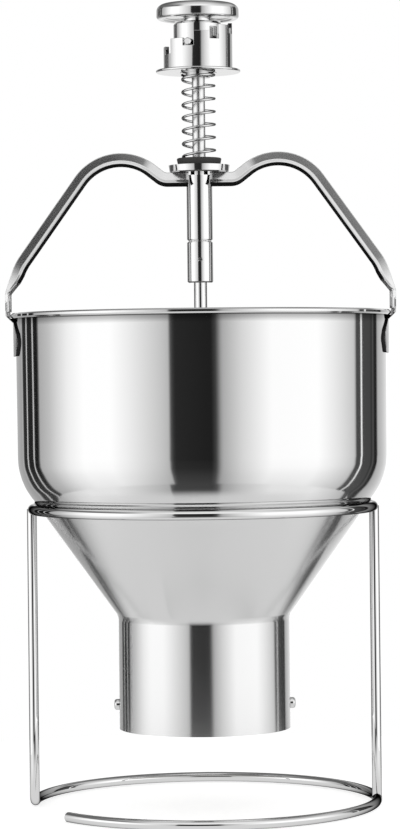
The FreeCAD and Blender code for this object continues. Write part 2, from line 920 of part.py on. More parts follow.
def make_plunger():
    sleeve_rad = cup_inner_rad - s.sleeve_gap
    pin_rad = s.pin_dia / 2
    pin = turned(
        "SelectorPin",
        [
            (0, s.pin_root),
            (pin_rad, s.pin_root),
            (pin_rad, cup_rad + s.pin_proud),
            (0, cup_rad + s.pin_proud),
        ],
    )
    chamfer_rings(pin, "PinChamfer", s.pin_chamfer, [(pin_rad, cup_rad + s.pin_proud)])
    azimuth = s.first_riser - s.step_angle * s.pin_step - half_notch - s.pin_shift
    # the pin's own axis is laid level, then turned to its notch
    lay = FreeCAD.Rotation(vector(0, 1, 0), 90)
    face = FreeCAD.Rotation(vector(0, 0, 1), azimuth.value - 90)
    pin.Placement = FreeCAD.Placement(vector(0, 0, pin_level.value), face * lay)
    bind(pin, "Placement.Base.z", pin_level)
    keep(pin, "selector_pin")

    sleeve = tube("SleeveBar", sleeve_rad, rod_rad, sleeve_bottom, boss_bottom)
    chamfer_rings(sleeve, "SleeveTop", s.sleeve_chamfer, [(sleeve_rad, boss_bottom)])
    chamfer_rings(sleeve, "SleeveFoot", s.edge_chamfer, [(sleeve_rad, sleeve_bottom)])
    drilled = doc.addObject("Part::Cut", "KnobSleeve")
    drilled.Base = sleeve
    drilled.Tool = pin
    keep(drilled, "knob_sleeve")

    bar = rod("PlungerBar", rod_rad, upper_rod_end, rod_top)
    drilled = doc.addObject("Part::Cut", "PlungerRod")
    drilled.Base = bar
    drilled.Tool = pin
    keep(drilled, "plunger_rod")

    inner_rad = cup_rad + s.knob_clear
    knob_rad = inner_rad + s.knob_wall
    boss_rad = rod_rad + s.boss_wall
    roof = knob_top - s.knob_roof
    knob = turned(
        "PushKnob",
        [
            (0, rod_top),
            (rod_rad, rod_top),
            (rod_rad, boss_bottom),
            (boss_rad, boss_bottom),
            (boss_rad, roof),
            (inner_rad, roof),
            (inner_rad, knob_bottom),
            (knob_rad, knob_bottom),
            (knob_rad, knob_top),
            (0, knob_top),
        ],
    )
    round_rings(knob, "KnobShoulder", s.knob_round, [(knob_rad, knob_top)])
    edges = [(knob_rad, knob_bottom), (inner_rad, knob_bottom)]
    chamfer_rings(knob, "KnobLip", s.edge_chamfer, edges)
    keep(knob, "push_knob")

    coupling = tube("RodCoupling", bush_rad, rod_rad, coupling_bottom, coupling_top)
    ends = [(bush_rad, coupling_bottom), (bush_rad, coupling_top)]
    chamfer_rings(coupling, "CouplingChamfer", s.edge_chamfer, ends)
    cross_hole(coupling, "CrossHole", "XZ_Plane", cross_hole_level, s.cross_hole_dia, both=False)
    keep(coupling, "rod_coupling")


def make_cutter():
    stub_end = nut_bottom - s.stub_proud
    lower = turned(
        "LowerRod",
        [
            (0, stub_end),
            (stub_rad, stub_end),
            (stub_rad, disc_top),
            (rod_rad, disc_top),
            (rod_rad, lower_rod_top),
            (0, lower_rod_top),
        ],
    )
    chamfer_rings(lower, "StubChamfer", s.edge_chamfer, [(stub_rad, stub_end)])
    keep(lower, "lower_rod")

    disc_rad = s.mouth_rad - s.disc_gap
    disc = turned(
        "CutterDisc",
        [
            (stub_rad, disc_bottom),
            (disc_rad, disc_bottom),
            (disc_rad, disc_bottom + s.disc_edge),
            (rod_rad + s.disc_hub_reach, disc_top),
            (stub_rad, disc_top),
        ],
    )
    keep(disc, "cutter_disc")

    block = doc.addObject("Part::Prism", "NutBlock")
    block.Polygon = 6
    bind(block, "Circumradius", (stub_rad + s.nut_wall) * 2 / root_of(as_size(3)))
    bind(block, "Height", s.nut_height)
    bind(block, "Placement.Base.z", nut_bottom)
    hole = doc.addObject("Part::Cylinder", "NutHole")
    bind(hole, "Radius", stub_rad)
    bind(hole, "Height", s.nut_height * 2)
    bind(hole, "Placement.Base.z", nut_bottom - s.nut_height / 2)
    nut = doc.addObject("Part::Cut", "DiscNut")
    nut.Base = block
    nut.Tool = hole
    keep(nut, "disc_nut")


def make_die():
    # a dome-headed screw with a hexagon socket, on each side of the neck
    shank = s.screw_dia / 2
    head = shank + s.screw_head_reach
    tip = s.neck_rad - s.screw_length
    crown = s.neck_rad + s.screw_head_height
    blank = turned(
        "ScrewBlank",
        [
            (0, tip),
            (shank, tip),
            (shank, s.neck_rad),
            (head, s.neck_rad),
            (head, crown),
            (0, crown),
        ],
    )
    round_rings(blank, "ScrewDome", s.screw_head_round, [(head, crown)])
    chamfer_rings(blank, "ScrewTip", s.screw_tip, [(shank, tip)])
    socket = doc.addObject("Part::Prism", "ScrewSocket")
    socket.Polygon = 6
    bind(socket, "Circumradius", s.screw_socket_width / root_of(as_size(3)))
    bind(socket, "Height", s.screw_socket_depth * 2)
    bind(socket, "Placement.Base.z", crown - s.screw_socket_depth)
    right = doc.addObject("Part::Cut", "RightScrew")
    right.Base = blank
    right.Tool = socket
    right.Placement = FreeCAD.Placement(
        vector(0, 0, screw_level.value), FreeCAD.Rotation(vector(0, 1, 0), 90)
    )
    bind(right, "Placement.Base.z", screw_level)
    left = doc.addObject("Part::Mirroring", "LeftScrew")
    left.Source = right
    left.Normal = vector(1, 0, 0)
    screws = doc.addObject("Part::Compound", "NeckScrews")
    screws.Links = [right, left]
    keep(screws, "neck_screws")

    groove = die_rad - s.seal_depth
    throat = die_bottom + s.mouth_length
    block = turned(
        "DieBlock",
        [
            (s.mouth_rad, die_bottom),
            (die_rad, die_bottom),
            (die_rad, seal_bottom),
            (groove, seal_bottom),
            (groove, seal_top),
            (die_rad, seal_top),
            (die_rad, die_top),
            (die_rad - s.die_rim, die_top),
            (s.mouth_rad, throat),
        ],
    )
    ends = [(die_rad, die_bottom), (die_rad, die_top)]
    chamfer_rings(block, "DieChamfer", s.edge_chamfer, ends)
    die = doc.addObject("Part::Cut", "DieRing")
    die.Base = block
    die.Tool = screws
    keep(die, "die_ring")

    outer = s.neck_rad - s.sheet_thick - s.screw_clear / 2
    seal = tube("DieSeal", outer, groove, seal_bottom, seal_top)
    keep(seal, "die_seal")

    # three-armed guide for the lower rod, resting on the die
    guide = new_body("RodGuide")
    ring_out = die_rad - s.edge_chamfer
    ring_in = ring_out - s.guide_ring_width
    assert s.die_rim.value > s.edge_chamfer.value, "the die has no land for the guide"
    arm = new_sketch(guide, "GuideArmOutline", "XY_Plane")
    half = s.guide_arm_width / 2
    middle = (ring_in + ring_out) / 2
    draw_outline(arm, [(0, half * -1), (0, half), (middle * -1, half), (middle * -1, half * -1)])
    arm.AttachmentOffset = FreeCAD.Placement(
        vector(0, 0, die_top.value), FreeCAD.Rotation(vector(0, 0, 1), -90)
    )
    bind(arm, "AttachmentOffset.Base.z", die_top)
    pad = guide.newObject("PartDesign::Pad", "GuideArm")
    pad.Profile = arm
    bind(pad, "Length", s.guide_thick)
    doc.recompute()
    arms = guide.newObject("PartDesign::PolarPattern", "GuideArms")
    arms.Originals = [pad]
    arms.Axis = (origin_plane(guide, "Z_Axis"), [""])
    arms.Angle = 360
    arms.Occurrences = 3
    guide.Tip = arms
    doc.recompute()
    hub_rad = bore_rad + s.guide_hub_wall
    guide_top = die_top + s.guide_thick
    rings = [
        ("GuideRing", ring_in, ring_out, die_top, guide_top),
        ("GuideHub", as_size(0), hub_rad, die_top, die_top + s.guide_hub_length),
    ]
    for name, inner, outer, bottom, top in rings:
        section = new_sketch(guide, name + "Section", "XZ_Plane")
        draw_outline(section, [(inner, bottom), (outer, bottom), (outer, top), (inner, top)])
        turn = guide.newObject("PartDesign::Revolution", name)
        turn.Profile = section
        turn.ReferenceAxis = (section, ["V_Axis"])
        turn.Angle = 360
        doc.recompute()
    bore = new_sketch(guide, "GuideBoreCircle", "XY_Plane")
    draw_circle(bore, 0, 0, bore_rad * 2)
    cut_sketch(guide, "GuideBore", bore, both=True)
    keep(guide, "rod_guide")


make_stand()
make_hopper()
make_handle()
make_dish()
make_spring()
make_cup()
make_plunger()
make_cutter()
make_die()

doc.recompute()
for thing in doc.Objects:
    failed = {"Invalid", "Error"} & set(thing.State)
    assert not failed, f"{thing.Name}: {thing.State}"

for thing in kept:
    shape = thing.Shape
    assert not shape.isNull() and shape.isValid(), f"{thing.Label} has no sound shape"

os.makedirs("parts", exist_ok=True)
for thing in kept:
    thing.Shape.exportStep(f"parts/{thing.Label}.step")
print(len(kept), "sub-parts written")
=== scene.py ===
import bmesh
import bpy
import math
from mathutils import Matrix, Vector


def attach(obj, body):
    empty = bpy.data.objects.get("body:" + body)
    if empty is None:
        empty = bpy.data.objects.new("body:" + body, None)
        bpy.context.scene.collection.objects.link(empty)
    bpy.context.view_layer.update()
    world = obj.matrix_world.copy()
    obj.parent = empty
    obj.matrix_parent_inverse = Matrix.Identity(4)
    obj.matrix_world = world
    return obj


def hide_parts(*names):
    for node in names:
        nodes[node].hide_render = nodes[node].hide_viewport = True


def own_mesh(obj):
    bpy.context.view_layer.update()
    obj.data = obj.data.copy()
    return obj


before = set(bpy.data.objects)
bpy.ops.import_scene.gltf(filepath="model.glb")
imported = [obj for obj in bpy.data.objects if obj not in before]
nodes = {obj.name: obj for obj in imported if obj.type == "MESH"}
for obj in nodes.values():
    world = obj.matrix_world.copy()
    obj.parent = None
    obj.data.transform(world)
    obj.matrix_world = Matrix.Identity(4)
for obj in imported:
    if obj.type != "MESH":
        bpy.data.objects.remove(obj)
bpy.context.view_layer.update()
scene = bpy.context.scene

# points nearer than this, in metres, are one point
mergeGap = 0.000001


def newObject(name, bm):
    mesh = bpy.data.meshes.new(name)
    bm.to_mesh(mesh)
    bm.free()
    piece = bpy.data.objects.new(name, mesh)
    scene.collection.objects.link(piece)
    return piece


def newPiece(name, bm, body, finish, sharpAngle=35):
    piece = newObject(name, bm)
    piece.data.shade_smooth()
    piece.data.set_sharp_from_angle(angle=math.radians(sharpAngle))
    piece.data.materials.append(finish)
    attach(piece, body)
    return piece


def allParts(bm):
    return bm.verts[:] + bm.edges[:] + bm.faces[:]


def closeCut(bm):
    bmesh.ops.holes_fill(bm, edges=[e for e in bm.edges if e.is_boundary], sides=0)
    bmesh.ops.recalc_face_normals(bm, faces=bm.faces[:])


def newMaterial(name):
    material = bpy.data.materials.new(name)
    material.use_nodes = True
    tree = material.node_tree
    tree.nodes.clear()
    return material, tree


def addNode(tree, kind, inputs=(), **settings):
    node = tree.nodes.new(kind)
    for key, value in settings.items():
        setattr(node, key, value)
    for key, value in dict(inputs).items():
        if isinstance(value, bpy.types.NodeSocket):
            tree.links.new(value, node.inputs[key])
        else:
            node.inputs[key].default_value = value
    return node


def grey(level):
    return (level, level, level, 1)


def addRamp(tree, factor, stops):
    node = addNode(tree, "ShaderNodeValToRGB", inputs={0: factor})
    elements = node.color_ramp.elements
    while len(elements) > 1:
        elements.remove(elements[-1])
    for i, (place, level) in enumerate(stops):
        element = elements[0] if i == 0 else elements.new(place)
        element.position = place
        element.color = grey(level)
    return node


# camera where the photographer stood, a little lower than the rim of the hopper
photoView = {
    "eye": (-0.0009, -1.823, 0.2636),
    "roll": 0.0108,
    "focalPixels": 2950,
    "imageHeight": 829,
    "horizonRow": 378,
}


def placeCamera(view):
    camera = bpy.data.objects.new("Camera", bpy.data.cameras.new("Camera"))
    scene.collection.objects.link(camera)
    scene.camera = camera
    height = view["imageHeight"]
    lens = camera.data
    lens.lens = view["focalPixels"] / height * lens.sensor_width
    lens.shift_y = (view["horizonRow"] - height / 2) / height
    camera.location = view["eye"]
    camera.rotation_euler = (math.pi / 2, view["roll"], 0)


placeCamera(photoView)

studio = {
    "floorRadius": 0.36,
    "floorSegments": 128,
    "floorDrop": 0.0002,
    "floorColour": 0.8,
    "floorLift": 0.5,
    "tentRadius": 2.4,
    "tentSegments": (96, 48),
    "tentLow": -2.2,
    "bandFade": (1.1, 1.4),
    "roofFade": (1.6, 2.15),
    # from the first height down to the second the bands fade to this grey, by this share
    "lowFade": (0.0, -1.7),
    "lowGrey": 0.19,
    "lowShare": 0.26,
    "worldLight": 0.8,
    # light round the object by the angle from the camera, to the right of it positive
    "bands": [
        (-167, 1.2), (-164, 0.5), (-144, 0.4), (-142, 0.03), (-118.5, 0.012),
        (-117, 0.5), (-106, 0.65), (-88, 1.1), (-76, 1.28), (-56, 1.28), (-44, 1.08),
        (-24, 0.71), (-19.5, 0.6), (-18.2, 0.07), (-16, 0.025), (6, 0.016),
        (9, 0.08), (10.5, 0.3), (12, 0.5), (24, 0.85), (42, 1.25), (74, 1.28), (90, 1.0),
        (106.5, 0.7), (107.8, 0.08), (125, 0.07), (127, 0.035), (135.5, 0.015), (137, 0.5),
        (164, 0.9), (167, 1.2),
    ],
    # narrow gleams in the dark bands at both sides, added to them
    "gleams": [
        (-180, 0), (-145.5, 0), (-145, 0.2), (-144, 0), (-135.6, 0), (-134.7, 1.3),
        (-133.8, 0), (-125.7, 0), (-124.8, 1.4), (-123.9, 0), (113, 0), (114, 1.4),
        (115, 0), (127.5, 0), (129.5, 0.08), (131, 0), (180, 0),
    ],
    # the same above the bands, where the tent's upper wall is
    "upperWall": [
        (-180, 0.15), (-60, 0.2), (-40, 0.9), (-10, 1.1), (20, 1.1), (60, 0.8), (130, 0.6),
        (155, 0.2), (180, 0.15),
    ],
    # the tent's roof from front to back, as shares of its depth
    "roof": [(0, 0.9), (0.35, 0.75), (0.55, 0.35), (0.75, 0.12), (1, 0.1)],
    # in the metal the floor is this bright, and fades to the bands between two distances
    "floorMirrored": 0.78,
    "floorFade": (0.17, 0.3),
}


def addBands(tree, place):
    # brightness round the object, as the metal mirrors it
    turn = addNode(tree, "ShaderNodeMapping",
                   inputs={0: place, "Rotation": (0, 0, math.pi / 2)})
    sweep = addNode(tree, "ShaderNodeTexGradient", gradient_type="RADIAL",
                    inputs={0: turn.outputs[0]})
    bands, gleams, upperWall = [
        addRamp(tree, sweep.outputs["Fac"],
                [((angle + 180) / 360, level) for angle, level in studio[name]])
        for name in ("bands", "gleams", "upperWall")]
    around = addNode(tree, "ShaderNodeMixRGB", blend_type="ADD",
                     inputs={0: 1.0, 1: bands.outputs[0], 2: gleams.outputs[0]})
    return around, upperWall


def lightWorld():
    # soft light on the object, and white where the camera and the metal look past it
    world = bpy.data.worlds.new("World")
    scene.world = world
    world.use_nodes = True
    tree = world.node_tree
    tree.nodes.clear()
    path = addNode(tree, "ShaderNodeLightPath")
    seen = addNode(tree, "ShaderNodeMath", operation="MAXIMUM",
                   inputs={0: path.outputs["Is Camera Ray"],
                           1: path.outputs["Is Glossy Ray"]})
    seenAll = addNode(tree, "ShaderNodeMath", operation="MAXIMUM",
                      inputs={0: seen.outputs[0], 1: path.outputs["Is Transmission Ray"]})
    soft = addNode(tree, "ShaderNodeBackground",
                   inputs={"Color": grey(1), "Strength": studio["worldLight"]})
    white = addNode(tree, "ShaderNodeBackground", inputs={"Color": grey(1)})
    mix = addNode(tree, "ShaderNodeMixShader",
                  inputs={0: seenAll.outputs[0], 1: soft.outputs[0], 2: white.outputs[0]})
    addNode(tree, "ShaderNodeOutputWorld", inputs={0: mix.outputs[0]})


def tentLight():
    material, tree = newMaterial("TentLight")
    place = addNode(tree, "ShaderNodeTexCoord").outputs["Object"]
    split = addNode(tree, "ShaderNodeSeparateXYZ", inputs={0: place})
    around, upperWall = addBands(tree, place)
    start, end = studio["lowFade"]
    low = addNode(tree, "ShaderNodeMapRange",
                  inputs={"Value": split.outputs["Z"], "From Min": end, "From Max": start,
                          "To Min": studio["lowShare"], "To Max": 0.0})
    light = addNode(tree, "ShaderNodeMixRGB",
                    inputs={0: low.outputs[0], 1: around.outputs[0],
                            2: grey(studio["lowGrey"])})
    depth = addNode(tree, "ShaderNodeMapRange",
                    inputs={"Value": split.outputs["Y"],
                            "From Min": -studio["tentRadius"],
                            "From Max": studio["tentRadius"]})
    roof = addRamp(tree, depth.outputs[0], studio["roof"])
    for fade, above in (("bandFade", upperWall), ("roofFade", roof)):
        start, end = studio[fade]
        rise = addNode(tree, "ShaderNodeMapRange", interpolation_type="SMOOTHSTEP",
                       inputs={"Value": split.outputs["Z"], "From Min": start,
                               "From Max": end})
        light = addNode(tree, "ShaderNodeMixRGB",
                        inputs={0: rise.outputs[0], 1: light.outputs[0],
                                2: above.outputs[0]})
    glow = addNode(tree, "ShaderNodeEmission", inputs={"Color": light.outputs[0]})
    addNode(tree, "ShaderNodeOutputMaterial", inputs={0: glow.outputs[0]})
    return material


def hangTent():
    # light tent with dark gaps, seen only in the metal: half a ball on an upright wall
    bm = bmesh.new()
    across, up = studio["tentSegments"]
    bmesh.ops.create_uvsphere(bm, u_segments=across, v_segments=up,
                              radius=studio["tentRadius"])
    bmesh.ops.bisect_plane(bm, geom=allParts(bm), plane_co=(0, 0, 0), plane_no=(0, 0, 1),
                           clear_inner=True)
    edges = [e for e in bm.edges if e.is_boundary]
    skirt = bmesh.ops.extrude_edge_only(bm, edges=edges)
    low = [v for v in skirt["geom"] if isinstance(v, bmesh.types.BMVert)]
    bmesh.ops.translate(bm, vec=(0, 0, studio["tentLow"]), verts=low)
    tent = newObject("LightTent", bm)
    tent.visible_camera = False
    tent.visible_diffuse = False
    tent.visible_shadow = False
    tent.data.materials.append(tentLight())


def paleFloor():
    material, tree = newMaterial("PaleFloor")
    pale = addNode(tree, "ShaderNodeBsdfDiffuse",
                   inputs={"Color": grey(studio["floorColour"])})
    path = addNode(tree, "ShaderNodeLightPath")
    lift = addNode(tree, "ShaderNodeMath", operation="MULTIPLY",
                   inputs={0: path.outputs["Is Camera Ray"], 1: studio["floorLift"]})
    glow = addNode(tree, "ShaderNodeEmission", inputs={"Strength": lift.outputs[0]})
    lifted = addNode(tree, "ShaderNodeAddShader",
                     inputs={0: pale.outputs[0], 1: glow.outputs[0]})
    # the metal sees a bright floor that fades outwards to the tent's bands
    place = addNode(tree, "ShaderNodeTexCoord").outputs["Object"]
    around = addBands(tree, place)[0]
    edge = addNode(tree, "ShaderNodeMixRGB",
                   inputs={0: studio["lowShare"], 1: around.outputs[0],
                           2: grey(studio["lowGrey"])})
    reach = addNode(tree, "ShaderNodeVectorMath", operation="LENGTH", inputs={0: place})
    start, end = studio["floorFade"]
    far = addNode(tree, "ShaderNodeMapRange", interpolation_type="SMOOTHSTEP",
                  inputs={"Value": reach.outputs["Value"], "From Min": start,
                          "From Max": end})
    fall = addNode(tree, "ShaderNodeMixRGB",
                   inputs={0: far.outputs[0], 1: grey(studio["floorMirrored"]),
                           2: edge.outputs[0]})
    mirrored = addNode(tree, "ShaderNodeEmission", inputs={"Color": fall.outputs[0]})
    mix = addNode(tree, "ShaderNodeMixShader",
                  inputs={0: path.outputs["Is Glossy Ray"], 1: lifted.outputs[0],
                          2: mirrored.outputs[0]})
    addNode(tree, "ShaderNodeOutputMaterial", inputs={0: mix.outputs[0]})
    return material


def layFloor():
    # pale floor: it catches the shadow, and looks white to the camera
    bm = bmesh.new()
    bmesh.ops.create_circle(bm, cap_ends=True, segments=studio["floorSegments"],
                            radius=studio["floorRadius"])
    bmesh.ops.translate(bm, vec=(0, 0, -studio["floorDrop"]), verts=bm.verts)
    floor = newObject("Floor", bm)
    floor.data.materials.append(paleFloor())


lightWorld()
hangTent()
layFloor()
print("studio done")

# what all steels share: details of the noises, and the blur turned upright
polish = {
    "lineDetail": 4.0,
    "waveDetail": 1.0,
    "cloudScale": 40.0,
    "cloudDetail": 3.0,
    "blurTurn": 0.25,
}


def addOutward(tree, split):
    # level arrow from the axis to the point
    return addNode(tree, "ShaderNodeCombineXYZ",
                   inputs={"X": split.outputs["X"], "Y": split.outputs["Y"]})


def steel(name, look):
    # polish lines follow the turning: they repeat by radius and height, not by angle
    material, tree = newMaterial(name)
    place = addNode(tree, "ShaderNodeTexCoord").outputs["Object"]
    split = addNode(tree, "ShaderNodeSeparateXYZ", inputs={0: place})
    reach = addNode(tree, "ShaderNodeVectorMath", operation="LENGTH",
                    inputs={0: addOutward(tree, split).outputs[0]})
    rings = addNode(tree, "ShaderNodeCombineXYZ",
                    inputs={"X": reach.outputs["Value"], "Y": split.outputs["Z"]})
    lines = addNode(tree, "ShaderNodeTexNoise", noise_dimensions="2D",
                    inputs={"Vector": rings.outputs[0], "Scale": look["lineScale"],
                            "Detail": polish["lineDetail"]})
    waves = addNode(tree, "ShaderNodeTexNoise",
                    inputs={"Vector": place, "Scale": look["waveScale"],
                            "Detail": polish["waveDetail"]})
    clouds = addNode(tree, "ShaderNodeTexNoise",
                     inputs={"Vector": place, "Scale": polish["cloudScale"],
                             "Detail": polish["cloudDetail"]})
    rough = addNode(tree, "ShaderNodeMapRange",
                    inputs={"Value": clouds.outputs["Fac"],
                            "To Min": look["roughness"] - look["spread"],
                            "To Max": look["roughness"] + look["spread"]})
    swell = addNode(tree, "ShaderNodeBump",
                    inputs={"Height": waves.outputs["Fac"], "Distance": look["waveDepth"],
                            "Strength": 1.0})
    grain = addNode(tree, "ShaderNodeBump",
                    inputs={"Height": lines.outputs["Fac"], "Distance": look["lineDepth"],
                            "Strength": 1.0, "Normal": swell.outputs[0]})
    roundAxis = addNode(tree, "ShaderNodeTangent", direction_type="RADIAL", axis="Z")
    shader = addNode(tree, "ShaderNodeBsdfPrincipled",
                     inputs={"Base Color": grey(look["tone"]), "Metallic": 1.0,
                             "Roughness": rough.outputs[0], "Normal": grain.outputs[0],
                             "Anisotropic": look["anisotropic"],
                             "Anisotropic Rotation": polish["blurTurn"],
                             "Specular Tint": grey(look["edgeTone"]),
                             "Tangent": roundAxis.outputs[0]})
    addNode(tree, "ShaderNodeOutputMaterial", inputs={0: shader.outputs[0]})
    return material


def finishSheet(material, look):
    # satin on the cone and the neck, and dull inside, where the normal points at the axis
    tree = material.node_tree
    shader = next(n for n in tree.nodes if n.type == "BSDF_PRINCIPLED")
    place = addNode(tree, "ShaderNodeTexCoord")
    split = addNode(tree, "ShaderNodeSeparateXYZ", inputs={0: place.outputs["Object"]})
    facing = addNode(tree, "ShaderNodeVectorMath", operation="DOT_PRODUCT",
                     inputs={0: addOutward(tree, split).outputs[0],
                             1: place.outputs["Normal"]})
    inside = addNode(tree, "ShaderNodeMath", operation="LESS_THAN",
                     inputs={0: facing.outputs["Value"], 1: 0.0})
    start, end = look["satinFade"]
    lower = addNode(tree, "ShaderNodeMapRange",
                    inputs={"Value": split.outputs["Z"], "From Min": start, "From Max": end,
                            "To Min": look["satin"], "To Max": 0.0})
    satin = addNode(tree, "ShaderNodeMath", operation="ADD",
                    inputs={0: shader.inputs["Roughness"].links[0].from_socket,
                            1: lower.outputs[0]})
    dull = addNode(tree, "ShaderNodeMath", operation="MULTIPLY_ADD",
                   inputs={0: inside.outputs[0], 1: look["insideDull"],
                           2: satin.outputs[0]})
    tone = addNode(tree, "ShaderNodeMixRGB",
                   inputs={0: inside.outputs[0], 1: grey(look["tone"]),
                           2: grey(look["insideTone"])})
    # the shade stops at the rim, which stands out past the wall
    start, end = look["rimShade"]
    climb = addNode(tree, "ShaderNodeMapRange",
                    inputs={"Value": split.outputs["Z"], "From Min": start, "From Max": end})
    shade = addRamp(tree, climb.outputs[0], look["rimShades"])
    beyond = addNode(tree, "ShaderNodeMath", operation="GREATER_THAN",
                     inputs={0: split.outputs["Z"], 1: end})
    under = addNode(tree, "ShaderNodeMath", operation="MAXIMUM",
                    inputs={0: shade.outputs[0], 1: beyond.outputs[0]})
    shaded = addNode(tree, "ShaderNodeMixRGB", blend_type="MULTIPLY",
                     inputs={0: 1.0, 1: tone.outputs[0], 2: under.outputs[0]})
    tree.links.new(dull.outputs[0], shader.inputs["Roughness"])
    tree.links.new(shaded.outputs[0], shader.inputs["Base Color"])


sheetLook = {
    "tone": 0.78, "roughness": 0.075, "spread": 0.01, "anisotropic": 0.9, "edgeTone": 1,
    "lineScale": 900, "lineDepth": 0.0000004, "waveScale": 14, "waveDepth": 0.00004,
    "satin": 0.1, "satinFade": (0.176, 0.19), "insideTone": 0.6, "insideDull": 0.22,
    # under the rim the wall darkens upwards from 1, and ends in a dark line
    "rimShade": (0.2963, 0.3013),
    "rimShades": [(0, 1), (0.5, 0.62), (0.84, 0.45), (0.87, 0.16), (1, 0.16)],
}
turnedLook = {
    "tone": 0.8, "roughness": 0.08, "spread": 0.02, "anisotropic": 0.4, "edgeTone": 0.7,
    "lineScale": 2500, "lineDepth": 0.0000003, "waveScale": 60, "waveDepth": 0.000002,
}
wireLook = {
    "tone": 0.82, "roughness": 0.02, "spread": 0.01, "anisotropic": 0, "edgeTone": 0,
    "lineScale": 500, "lineDepth": 0.0000001, "waveScale": 60, "waveDepth": 0.000004,
}
rodLook = {
    "tone": 0.82, "roughness": 0.28, "spread": 0.03, "anisotropic": 0.3, "edgeTone": 0.3,
    "lineScale": 2500, "lineDepth": 0.0000003, "waveScale": 60, "waveDepth": 0.000002,
}
springLook = {
    "tone": 0.7, "roughness": 0.04, "spread": 0.02, "anisotropic": 0, "edgeTone": 0,
    "lineScale": 500, "lineDepth": 0.0000001, "waveScale": 60, "waveDepth": 0.000004,
}
pressedLook = {
    "tone": 0.75, "roughness": 0.24, "spread": 0.04, "anisotropic": 0, "edgeTone": 0.8,
    "lineScale": 1400, "lineDepth": 0.0000004, "waveScale": 50, "waveDepth": 0.00001,
}
brightLook = {
    "tone": 0.82, "roughness": 0.09, "spread": 0.02, "anisotropic": 0, "edgeTone": 0,
    "lineScale": 1400, "lineDepth": 0.0000002, "waveScale": 50, "waveDepth": 0.000006,
}
# near-black steel that paints shade: inside the handle's channel, on its sheet edges and on
# the cut edges of the tabs
paintedShadeLook = {
    "tone": 0.03, "roughness": 0.5, "spread": 0.06, "anisotropic": 0, "edgeTone": 0.5,
    "lineScale": 1400, "lineDepth": 0.000002, "waveScale": 80, "waveDepth": 0.00001,
}
sheetSteel = steel("sheetSteel", sheetLook)
finishSheet(sheetSteel, sheetLook)
turnedSteel = steel("turnedSteel", turnedLook)
wireSteel = steel("wireSteel", wireLook)
rodSteel = steel("rodSteel", rodLook)
springSteel = steel("springSteel", springLook)
pressedSteel = steel("pressedSteel", pressedLook)
brightSteel = steel("brightSteel", brightLook)
paintedShadeSteel = steel("paintedShadeSteel", paintedShadeLook)


def plain(name, look):
    material, tree = newMaterial(name)
    place = addNode(tree, "ShaderNodeTexCoord").outputs["Object"]
    clouds = addNode(tree, "ShaderNodeTexNoise",
                     inputs={"Vector": place, "Scale": look["cloudScale"],
                             "Detail": look["cloudDetail"]})
    tone = addNode(tree, "ShaderNodeMixRGB",
                   inputs={0: clouds.outputs["Fac"], 1: (*look["dark"], 1),
                           2: (*look["light"], 1)})
    fine = addNode(tree, "ShaderNodeTexNoise",
                   inputs={"Vector": place, "Scale": look["grainScale"],
                           "Detail": look["grainDetail"]})
    rough = addNode(tree, "ShaderNodeMapRange",
                    inputs={"Value": fine.outputs["Fac"],
                            "To Min": look["roughness"] - look["spread"],
                            "To Max": look["roughness"] + look["spread"]})
    bump = addNode(tree, "ShaderNodeBump",
                   inputs={"Height": fine.outputs["Fac"], "Distance": look["grainDepth"],
                           "Strength": 1.0})
    shader = addNode(tree, "ShaderNodeBsdfPrincipled",
                     inputs={"Base Color": tone.outputs[0], "Roughness": rough.outputs[0],
                             "Normal": bump.outputs[0]})
    addNode(tree, "ShaderNodeOutputMaterial", inputs={0: shader.outputs[0]})
    return material


plasticLook = {
    "dark": (0.66, 0.65, 0.61), "light": (0.74, 0.73, 0.69), "roughness": 0.4,
    "spread": 0.08, "cloudScale": 30, "cloudDetail": 3, "grainScale": 900,
    "grainDetail": 2, "grainDepth": 0.000008,
}
rubberLook = {
    "dark": (0.03, 0.03, 0.03), "light": (0.06, 0.058, 0.055), "roughness": 0.62,
    "spread": 0.08, "cloudScale": 60, "cloudDetail": 3, "grainScale": 1500,
    "grainDetail": 2, "grainDepth": 0.00002,
}
whitePlastic = plain("whitePlastic", plasticLook)
sealRubber = plain("sealRubber", rubberLook)
finishes = {
    "polished_sheet": sheetSteel, "turned_steel": turnedSteel, "steel_wire": wireSteel,
    "spring_steel": springSteel, "white_plastic": whitePlastic, "seal_rubber": sealRubber,
}
for node in nodes.values():
    for slot in node.material_slots:
        slot.material = finishes[slot.material.name.split(".")[0]]
nodes["plunger_rod"].material_slots[0].material = rodSteel
nodes["lower_rod"].material_slots[0].material = brightSteel
print("metals done")

# return spring: one wire wound upwards, in two pieces because two joints press it
springShape = {
    "wireRadius": 0.000825,
    "wireSides": 14,
    "coilRadius": 0.009825,
    "start": 0.392925,
    "stepsPerTurn": 32,
    # turns, and the pitch at their start and end
    "spans": [(2.6, 0.00215, 0.00215), (0.5, 0.00215, 0.007973), (6.0, 0.007973, 0.007973),
              (0.5, 0.007973, 0.0), (0.4, 0.0, 0.0)],
    # below this height the plunger presses it, and above it the cup does
    "splitHeight": 0.439,
    "seat": 0.3921,
    # shares of their length that the pieces keep when pressed
    "pressKeep": 0.317,
    "releaseKeep": 0.291,
}


